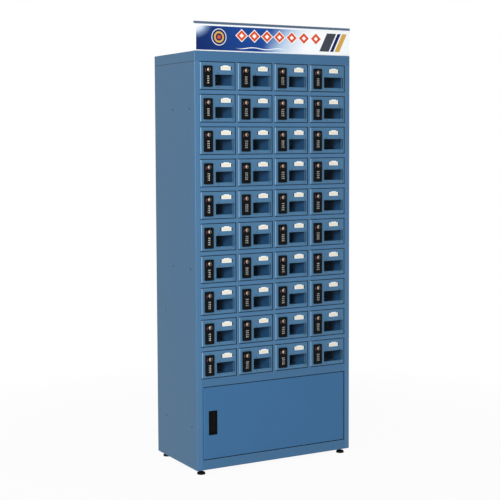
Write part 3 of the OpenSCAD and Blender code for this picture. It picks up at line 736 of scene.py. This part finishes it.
def outer_side(recipe, x, y, z):
    """1 on the outer side sheets, past the rounded front edge: a greyer copy of the front paint, partly
    the sheets' own tone and partly painted shade for how the light falls on the side.
    """
    return abs(x).fade(SIDE_X - 0.4 * MM, SIDE_X) * y.fade(FRONT_Y + 1.5 * MM, FRONT_Y + 4 * MM)


def cover_and_base(recipe, x, y, z):
    """1 on the cover, and on the front between the stiles under the grid of doors: a darker copy of
    the front paint, painted as shade.
    """
    return z.fade(COVER_Z - 0.2 * MM, COVER_Z).most(
        z.fade(GRID_Z + 2 * MM, GRID_Z) * abs(x).fade(STILE_X + 0.5 * MM, STILE_X)
        * y.fade(FRONT_Y + 40 * MM, FRONT_Y + 30 * MM))


def within(x, y, z):
    """1 inside the outer sheets."""
    return (abs(x).fade(SIDE_X, SIDE_X - 0.4 * MM) * y.fade(BACK_Y - 0.3 * MM, BACK_Y - 0.7 * MM)
            * z.fade(COVER_Z + 4 * MM, COVER_Z + 3 * MM))


def compartments(recipe, x, y, z):
    """1 within the body, behind the front frame: a bluer copy of the paint, painted as the light on the inner
    walls.
    """
    return y.fade(FRONT_Y + 20 * MM, FRONT_Y + 24 * MM) * within(x, y, z)


def deep_shade_inside(recipe, x, y, z):
    """1 on the walls of the small compartments, from a hand's width behind the front: painted shade."""
    return y.fade(FRONT_Y + 100 * MM, FRONT_Y + 155 * MM) * z.fade(GRID_Z, GRID_Z + 2 * MM) * within(x, y, z)


def frame_gap_shade(recipe, x, y, z):
    """1 on the edges of the front frame that are folded back beside the doors: painted shade in the gaps."""
    return (y.band(FRONT_Y, FRONT_Y + 24 * MM, 0.25 * MM) * abs(x).fade(STILE_X + MM, STILE_X + 0.6 * MM)
            * z.fade(COVER_Z + 2 * MM, COVER_Z + 1.6 * MM))


def cover_seam(recipe, x, y, z):
    """1 in the groove between the cover and the sides, and a little beside it."""
    return abs(z - COVER_Z).fade(1.6 * MM, 0.9 * MM) * abs(x).fade(SIDE_X - 0.4 * MM, SIDE_X + 0.2 * MM)


def door_gap_shade(recipe, x, y, z):
    """1 on the faces of a door that are marked FOLDED, behind its front: painted shade in the gaps
    round the door and on its rounded top and bottom folds.
    """
    return recipe.painted().fade(FOLDED - 0.3, FOLDED - 0.2) * y.fade(FRONT_Y, FRONT_Y + 0.2 * MM)


def painted_fold_highlight(recipe, x, y, z):
    """The share of a painted highlight on the faces of a door that are marked for it, along its left fold."""
    return recipe.painted().band(FOLD_HIGHLIGHT - 0.3, FOLDED - 0.3, 0.1) * 0.8


def plastic(recipe, colour, rough, second=None, second_rough=0.5, specular=0.15):
    """Moulded plastic with a fine spark texture, and a second colour where the piece is painted."""
    at, *_ = recipe.place()
    spark, haze = recipe.noise(at, 1800, 3, 0.6), recipe.noise(at, 60, 2)
    shade = recipe.vary(haze, colour, 0.85, 1.2)
    gloss = rough - 0.05 + haze * 0.1 + spark * 0.05
    if second is not None:
        mark = recipe.painted()
        shade = recipe.mix(mark, shade, recipe.vary(spark, second, 0.93, 1))
        gloss = gloss * (1 - mark) + mark * second_rough
    recipe.finish(shade, gloss, recipe.bump(spark, 0.2, 0.00005), specular=specular)


def metal(recipe, colour, rough, stretch, second):
    """Turned or brushed metal: fine lines from noise that is drawn out along one axis, and a
    second colour where the piece is painted."""
    at, *_ = recipe.place()
    brushed, wear_and_highlight = recipe.noise(recipe.stretched(at, *stretch), 900, 3, 0.6), recipe.noise(at, 90, 3)
    shade = recipe.vary(brushed, colour, 0.82, 1.08)
    shade = recipe.mix(recipe.painted(), shade, recipe.vary(brushed, second, 0.8, 1))
    gloss = rough - 0.06 + brushed * 0.12 + wear_and_highlight * 0.06
    recipe.finish(shade, gloss, recipe.bump(brushed, 0.15, 0.00004), metallic=1.0)


def rubber_and_steel(recipe, rubber, steel):
    """Rubber pad, and zinc-plated steel where the piece is painted."""
    at, *_ = recipe.place()
    grain, mark = recipe.noise(at, 900, 3), recipe.painted()
    shade = recipe.mix(mark, recipe.vary(grain, rubber, 0.8, 1.3), recipe.vary(grain, steel, 0.8, 1))
    gloss = 0.62 + grain * 0.12 - mark * 0.34
    recipe.finish(shade, gloss, recipe.bump(grain, 0.3, 0.0001), metallic=mark, specular=0.1)


def acrylic(recipe, colour):
    """Clear acrylic: mostly let through, with faint wiping marks in the gloss."""
    at, *_ = recipe.place()
    wipe = recipe.noise(recipe.stretched(at, 1, 1, 4), 40, 3)
    recipe.finish(recipe.vary(wipe, colour, 0.96, 1), 0.05 + wipe * 0.06, alpha=0.02 + wipe * 0.02)


def printed_sign(recipe, tints, size):
    """Header print in millimetres from its left bottom corner: a white border, a ground from navy
    through sky blue to white, a chain of outlined lozenges, a thin wave, a target of rings,
    three slanted bars, and a painted highlight, pale blue and white, at its top left corner.
    The back of the sheet is plain."""
    low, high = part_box("sign_panel")
    at, x, y, z = recipe.place()
    reverse = y.fade(low.y + size.sign[0] * 0.4, low.y + size.sign[0] * 0.6)
    x, z = (x - low.x) / MM, (z - low.z) / MM
    width, height, border = (high.x - low.x) / MM, (high.z - low.z) / MM, size.sign[2] / MM

    def nested(ground, measure, *pairs, share=None):
        """Lays each tone over the ground where the measure is under its reach."""
        for reach, tone in pairs:
            cover = measure.fade(reach + 0.03, reach - 0.03)
            ground = recipe.mix(cover if share is None else cover * share, ground, tone)
        return ground

    drift = recipe.noise(at, 7, 2)
    slope = x - z * 0.5
    pale = slope + drift * 60
    ground = recipe.mix((x + drift * 300).fade(width * 0.15, width * 0.75), tints.navy, tints.royal)
    for start, stop, tone in ((0.43, 0.6, tints.sky), (0.52, 0.74, tints.paper)):
        ground = recipe.mix(pale.fade(width * start, width * stop), ground, tone)
    # A painted highlight: a pale blue and white patch at the top left corner, for the glare of the light on
    # the sheet
    glow = (x / 92) ** 2 + ((z - height) / 74) ** 2
    for reach, tone in ((1.0, tints.sky), (0.55, tints.paper)):
        ground = recipe.mix(glow.fade(reach, -0.1), ground, tone)
    chain_x, step, count = 196, 62.0, 7
    along = ((x - chain_x) / step).fraction() * step - step / 2
    ground = nested(ground, abs(along) / 26 + abs(z - height * 0.58) / 24,
                    (1.17, tints.paper), (0.99, tints.orange), (0.4, tints.paper),
                    share=x.band(chain_x - 1, chain_x + count * step, 1))
    wave = abs(z - 18 - (x * 0.05).sine() * 3)
    ground = recipe.mix(wave.fade(2.2, 1.2) * x.band(190, 460, 60), ground, tints.paper)
    ring = (((x - 118) ** 2 + (z - height * 0.5) ** 2) ** 0.5) / 34
    ground = nested(ground, ring, (1.03, tints.paper), (0.95, tints.navy), (0.7, tints.gold),
                    (0.46, tints.navy), (0.24, tints.orange))
    for start, stop, tone in ((608, 658, tints.slate), (664, 682, tints.navy), (688, 714, tints.gold)):
        ground = recipe.mix(slope.band(start, stop, 1) * z.band(16, height - 24, 1), ground, tone)
    edge = x.least(width - x).least(z + 5).least(height - z - 5)
    ground = recipe.mix(edge.fade(border + 0.5, border - 0.5).most(reverse), ground, tints.paper)
    gloss = 0.22 + recipe.noise(at, 30, 2) * 0.1
    recipe.finish(ground, gloss, recipe.bump(recipe.noise(at, 300, 2), 0.1, 0.00005), specular=0.1)


def coated_rail(recipe, colour):
    """Coated rail whose tone darkens along the header."""
    at, x, *_ = recipe.place()
    grain = recipe.noise(recipe.stretched(at, 0.05, 1, 1), 900, 2)
    shade = recipe.mix(abs(x + 0.06).fade(0.2, 0.44), colour, toned(colour, 1.25))
    shade = recipe.mix(grain * 0.2, shade, toned(colour, 1.3))
    recipe.finish(shade, 0.38 + grain * 0.1, recipe.bump(grain, 0.15, 0.00005), specular=0.15)


def finish(slot):
    """The material of a slot, made once."""
    name = "made_" + slot
    if name in bpy.data.materials:
        return bpy.data.materials[name]
    tints, size = bpy.context.scene.locker_finishes, bpy.context.scene.locker_sizes
    # The cabinet's zones paint shade on the cover, the front under the grid, the sides, the gaps and deep
    # inside, light on the walls inside, and the shaded seam
    cabinet_zones = ((cover_and_base, tints.shade), (outer_side, tints.side), (compartments, tints.inside),
                     (deep_shade_inside, tints.deep), (frame_gap_shade, tints.turned), (cover_seam, tints.seam))
    makers = {
        "cabinet_paint": (powder_coat, tints.front, cabinet_zones),
        # The doors get a painted highlight along the left fold and painted shade on the folded faces in the
        # gaps
        "door_paint": (powder_coat, tints.door, ((painted_fold_highlight, tints.fold), (door_gap_shade, tints.turned))),
        "storage_paint": (powder_coat, tints.storage,
                          ((painted_fold_highlight, toned(tints.storage, 1.25)), (door_gap_shade, tints.turned))),
        "rail_slate": (coated_rail, tints.rail),
        "sign_print": (printed_sign, tints, size),
        "pin_steel": (metal, tints.steel, 0.4, (1, 1, 0.1), tints.steel),
        "knob_metal": (metal, tints.knob, 0.3, (0.2, 1, 1), tints.grip),
        "lock_black": (plastic, tints.case, 0.34, tints.mark, 0.3, 0.09),
        "dial_black": (plastic, tints.dial, 0.36, tints.figures, 0.45),
        "pull_black": (plastic, tints.pull, 0.42, None, 0.5, 0.06),
        "plate_white": (plastic, tints.plate, 0.3, tints.card, 0.75, 0.4),
        "window_clear": (acrylic, tints.pane),
        "foot_black": (rubber_and_steel, tints.rubber, tints.steel),
    }
    make, *settings = makers[slot]
    recipe = Recipe(bpy.data.materials.new(name))
    make(recipe, *settings)
    return recipe.owner


class LockerOperator:
    """What the operators share: each one makes its pieces, and raises an error if it can't."""

    bl_options = {"REGISTER", "UNDO"}

    def execute(self, context):
        self.make(context, context.scene.locker_sizes)
        return {"FINISHED"}


class DoorOperator(LockerOperator):
    """What the operators share that make something for each small door."""

    def make(self, context, size):
        for name in DOORS:
            self.dress(size, name, *door_span(name))


class LOCKER_OT_cabinet(LockerOperator, bpy.types.Operator):
    """Give the folded steel body, its hinge pins and the sign rail their finishes"""

    bl_idname, bl_label = "locker.cabinet", "Finish Cabinet Body"

    def make(self, context, size):
        slots = {"hinge_pins": "pin_steel", "sign_rail": "rail_slate"}
        for name in frame["record"]["behaviour"]["bodies"]["cabinet"]:
            if name not in ("sign_panel", "levelling_feet"):
                materials = frame["nodes"][name].data.materials
                materials.clear()
                materials.append(finish(slots.get(name, "cabinet_paint")))


class LOCKER_OT_doors(DoorOperator, bpy.types.Operator):
    """Fold the small doors with their cut-outs"""

    bl_idname, bl_label = "locker.doors", "Make Door Leaves"

    def dress(self, size, name, corner, width, height):
        small_leaf(size, width, height).piece(name + "_leaf", name, "door_paint", corner, wall=size.sheet)


class LOCKER_OT_windows(DoorOperator, bpy.types.Operator):
    """Cut the clear panes with their lugs"""

    bl_idname, bl_label = "locker.windows", "Make Window Panes"

    def dress(self, size, name, corner, width, _):
        pane, hooks = clear_pane(size, width)
        pane.piece(name + "_pane", name, "window_clear", corner, wall=size.pane[0], bevel=0.25 * MM)
        hooks.piece(name + "_lugs", name, "window_clear", corner)


class LOCKER_OT_plates(DoorOperator, bpy.types.Operator):
    """Mould the number plates with their cards"""

    bl_idname, bl_label = "locker.plates", "Make Number Plates"

    def dress(self, size, name, corner, *_):
        at = corner + Vector((size.plate[0], 0, size.plate[1]))
        number_plate(size).piece(name + "_plate", name, "plate_white", at)


class LOCKER_OT_locks(DoorOperator, bpy.types.Operator):
    """Mould the lock cases with their dial pockets and status marks"""

    bl_idname, bl_label = "locker.locks", "Make Lock Cases"

    def dress(self, size, name, corner, *_):
        at = corner + Vector((size.lock[0], 0, size.lock[1]))
        node = "lock_case" if name == DOORS[0] else name
        lock_case(size).piece(name + "_lock", name, "lock_black", at, node, bevel=0.2 * MM)


class LOCKER_OT_knobs(DoorOperator, bpy.types.Operator):
    """Turn the thumb-turns with their spindles and cams"""

    bl_idname, bl_label = "locker.knobs", "Make Lock Knobs"

    def dress(self, size, name, corner, *_):
        body = "lock_knob" if name == DOORS[0] else name
        thumb_turn(size).piece(name + "_knob", body, "knob_metal", corner, bevel=0.15 * MM)


class LOCKER_OT_dials(DoorOperator, bpy.types.Operator):
    """Turn the number dials; those of the first door turn by themselves"""

    bl_idname, bl_label = "locker.dials", "Make Dials"

    def dress(self, size, name, corner, *_):
        alone = name == DOORS[0]
        first = 6 if DOORS.index(name) % COLUMNS else 9
        angles = np.radians(FIGURE_TURN * np.arange(-1, 9 if alone else 2))
        shapes = [Shape() for _ in range(DIALS)] if alone else [Shape()] * DIALS
        lowest, _, pitch = size.dials
        for i, shape in enumerate(shapes):
            dial(shape, size, lowest + (DIALS - 1 - i) * pitch, first, angles)
        if alone:
            for i, shape in enumerate(shapes, 1):
                shape.piece(f"{name}_dial_{i}", f"dial_{i}", "dial_black", corner)
        else:
            shapes[0].piece(name + "_dials", name, "dial_black", corner)


class LOCKER_OT_storage(LockerOperator, bpy.types.Operator):
    """Fold the storage door and mould its recessed pull"""

    bl_idname, bl_label = "locker.storage", "Make Storage Door"

    def make(self, context, size):
        corner, width, height = door_span("storage_door")
        (x, w, h, _), rim = size.pull, 3 * MM
        z = (height - h) / 2
        hole = (x + rim, z + rim, x + w - rim, z + h - rim)
        leaf = door_pan(size, width, height, [hole])
        leaf.piece("storage_leaf", "storage_door", "storage_paint", corner, wall=size.sheet)
        at = corner + Vector((x, 0, z))
        pull_cup(size).piece("storage_cup", "storage_door", "pull_black", at, "storage_pull")


class LOCKER_OT_sign(LockerOperator, bpy.types.Operator):
    """Fold and print the header sheet"""

    bl_idname, bl_label = "locker.sign", "Make Header Sign"

    def make(self, context, size):
        low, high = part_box("sign_panel")
        (thick, r, _), a = size.sign, np.linspace(0, np.pi / 2, 7)
        bend = np.column_stack([low.y + r - r * np.sin(a), low.z + r - r * np.cos(a)])
        rise = np.linspace(low.z + r, high.z, 6)[1:]
        line = np.concatenate([[[high.y, low.z]], bend, np.column_stack([np.full(5, low.y), rise])])
        points = np.empty((9, len(line), 3))
        points[..., 0] = np.linspace(low.x, high.x, 9)[:, None]
        points[..., 1:] = line
        shape = Shape()
        shape.grid(points)
        shape.piece("header_sheet", "cabinet", "sign_print", replaced="sign_panel", wall=thick)


class LOCKER_OT_feet(LockerOperator, bpy.types.Operator):
    """Mould the levelling feet with their screws and lock nuts"""

    bl_idname, bl_label = "locker.feet", "Make Levelling Feet"

    def make(self, context, size):
        low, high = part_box("levelling_feet")
        shape = Shape()
        r = size.pad[0]
        for x in (low.x + r, high.x - r):
            for y in (low.y + r, high.y - r):
                foot(shape, size, x, y, low.z)
        shape.piece("feet", "cabinet", "foot_black", replaced="levelling_feet")


# Each lamp's name, place and size in metres, and power in watts; all look at AIM
LAMPS = (
    ("key_lamp", (-3.5, -4.5, 2.1), (1.3, 1.3), 215),
    ("edge_lamp", (-4.6, -1.9, 1.5), (0.5, 3.4), 25),
)
AIM = Vector((0, 0, 0.9))
# The camera that the photo was solved to: its place, its angles in radians and its focal length in pixels
EYE, YAW, PITCH, ROLL = (-2.60296, -4.63494, 1.42681), 0.50802, 0.07097, -0.00416
FOCAL, PHOTO, SENSOR, SHIFT = 1184.98747, 500, 36, -0.05
FLOOR_REACH = 14


class LOCKER_OT_stage(LockerOperator, bpy.types.Operator):
    """Lay the pale floor and set the lamps, the world and the camera"""

    bl_idname, bl_label = "locker.stage", "Set Stage"

    def make(self, context, size):
        self.floor(context)
        self.white_world(context)
        for lamp in LAMPS:
            self.lamp(context, *lamp)
        self.camera(context)
        context.scene.view_settings.view_transform = "Standard"

    def floor(self, context):
        reach = np.linspace(-FLOOR_REACH, FLOOR_REACH, 5)
        points = np.stack([*np.meshgrid(reach, reach), np.zeros((5, 5))], -1).reshape(-1, 3)
        corner = np.arange(20).reshape(4, 5)[:, :4].ravel()
        quads = np.stack([corner, corner + 1, corner + 6, corner + 5], -1)
        mesh = bpy.data.meshes.new("floor")
        mesh.from_pydata(points.tolist(), [], quads.tolist())
        mesh.materials.append(self.white_floor())
        floor = bpy.data.objects.new("floor", mesh)
        context.scene.collection.objects.link(floor)

    def seen(self, recipe):
        """1 for rays that come from the camera, a reflection or a clear pane."""
        camera, glossy, through = (recipe.node("ShaderNodeLightPath", output=f"Is {kind} Ray")
                                   for kind in ("Camera", "Glossy", "Transmission"))
        return (camera + glossy + through).least(1.0)

    def white_floor(self):
        """A grey matt floor under the light, which a ray of seen() finds nearly white, and all
        white further off."""
        recipe = Recipe(bpy.data.materials.new("floor_white"))
        at, x, y, _ = recipe.place()
        tone = recipe.mix(recipe.noise(at, 0.8, 2), (0.66, 0.66, 0.66), (0.70, 0.70, 0.70))
        matt = recipe.node("ShaderNodeBsdfDiffuse", None, {0: tone})
        glow = recipe.node("ShaderNodeEmission", None, {0: (1, 1, 1, 1), 1: 1.0})
        white = 0.95 + (x**2 + y**2).fade(0.8, 6.0) * 0.05
        recipe.end(recipe.node("ShaderNodeMixShader", None, {0: self.seen(recipe) * white, 1: matt, 2: glow}))
        return recipe.owner

    def white_world(self, context):
        """A dim, pale sky for the light, and white for a ray of seen()."""
        context.scene.world = bpy.data.worlds.new("studio")
        recipe = Recipe(context.scene.world)
        sky, white = (recipe.node("ShaderNodeBackground", None, {0: (*tone, 1), 1: power})
                      for tone, power in (((0.95, 0.98, 1), 0.42), ((1, 1, 1), 1.0)))
        both = recipe.node("ShaderNodeMixShader", None, {0: self.seen(recipe), 1: sky, 2: white})
        recipe.end(both, "World")

    def lamp(self, context, name, place, span, power):
        light = bpy.data.lights.new(name, "AREA")
        light.shape, light.size, light.size_y, light.energy = "RECTANGLE", *span, power
        holder = bpy.data.objects.new(name, light)
        holder.location = place
        holder.rotation_euler = (AIM - Vector(place)).to_track_quat("-Z", "Y").to_euler()
        context.scene.collection.objects.link(holder)

    def camera(self, context):
        """The camera looks along (sin yaw cos pitch, cos yaw cos pitch, -sin pitch)."""
        ahead = Vector((np.sin(YAW) * np.cos(PITCH), np.cos(YAW) * np.cos(PITCH), -np.sin(PITCH)))
        right = Vector((np.cos(YAW), -np.sin(YAW), 0))
        up = right.cross(ahead)
        right, up = right * np.cos(ROLL) + up * np.sin(ROLL), up * np.cos(ROLL) - right * np.sin(ROLL)
        data = bpy.data.cameras.new("camera")
        data.sensor_width, data.lens, data.shift_y, data.clip_end = SENSOR, FOCAL / PHOTO * SENSOR, SHIFT, 100
        holder = bpy.data.objects.new("camera", data)
        holder.matrix_world = Matrix.Translation(EYE) @ Matrix((right, up, -ahead)).transposed().to_4x4()
        context.scene.collection.objects.link(holder)
        context.scene.camera = holder


OPERATORS = (
    LOCKER_OT_stage, LOCKER_OT_cabinet, LOCKER_OT_doors, LOCKER_OT_windows, LOCKER_OT_plates, LOCKER_OT_locks,
    LOCKER_OT_knobs, LOCKER_OT_dials, LOCKER_OT_storage, LOCKER_OT_sign, LOCKER_OT_feet,
)


class LOCKER_PT_panel(bpy.types.Panel):
    """Lists the steps that dress the cabinet"""

    bl_label, bl_space_type, bl_region_type, bl_category = "Phone Locker", "VIEW_3D", "UI", "Locker"

    def draw(self, context):
        for operator in OPERATORS:
            self.layout.operator(operator.bl_idname)
        for group in (context.scene.locker_sizes, context.scene.locker_finishes):
            column = self.layout.column()
            for name in group.__annotations__:
                column.prop(group, name)


CLASSES = (LockerSizes, LockerFinishes, *OPERATORS, LOCKER_PT_panel)


def register():
    for kind in CLASSES:
        bpy.utils.register_class(kind)
    bpy.types.Scene.locker_sizes = PointerProperty(type=LockerSizes)
    bpy.types.Scene.locker_finishes = PointerProperty(type=LockerFinishes)


def unregister():
    del bpy.types.Scene.locker_finishes, bpy.types.Scene.locker_sizes
    for kind in reversed(CLASSES):
        bpy.utils.unregister_class(kind)


def main():
    """Dresses the whole cabinet."""
    register()
    for operator in OPERATORS:
        getattr(bpy.ops.locker, operator.bl_idname.split(".")[1])()


if __name__ == "__main__":
    main()
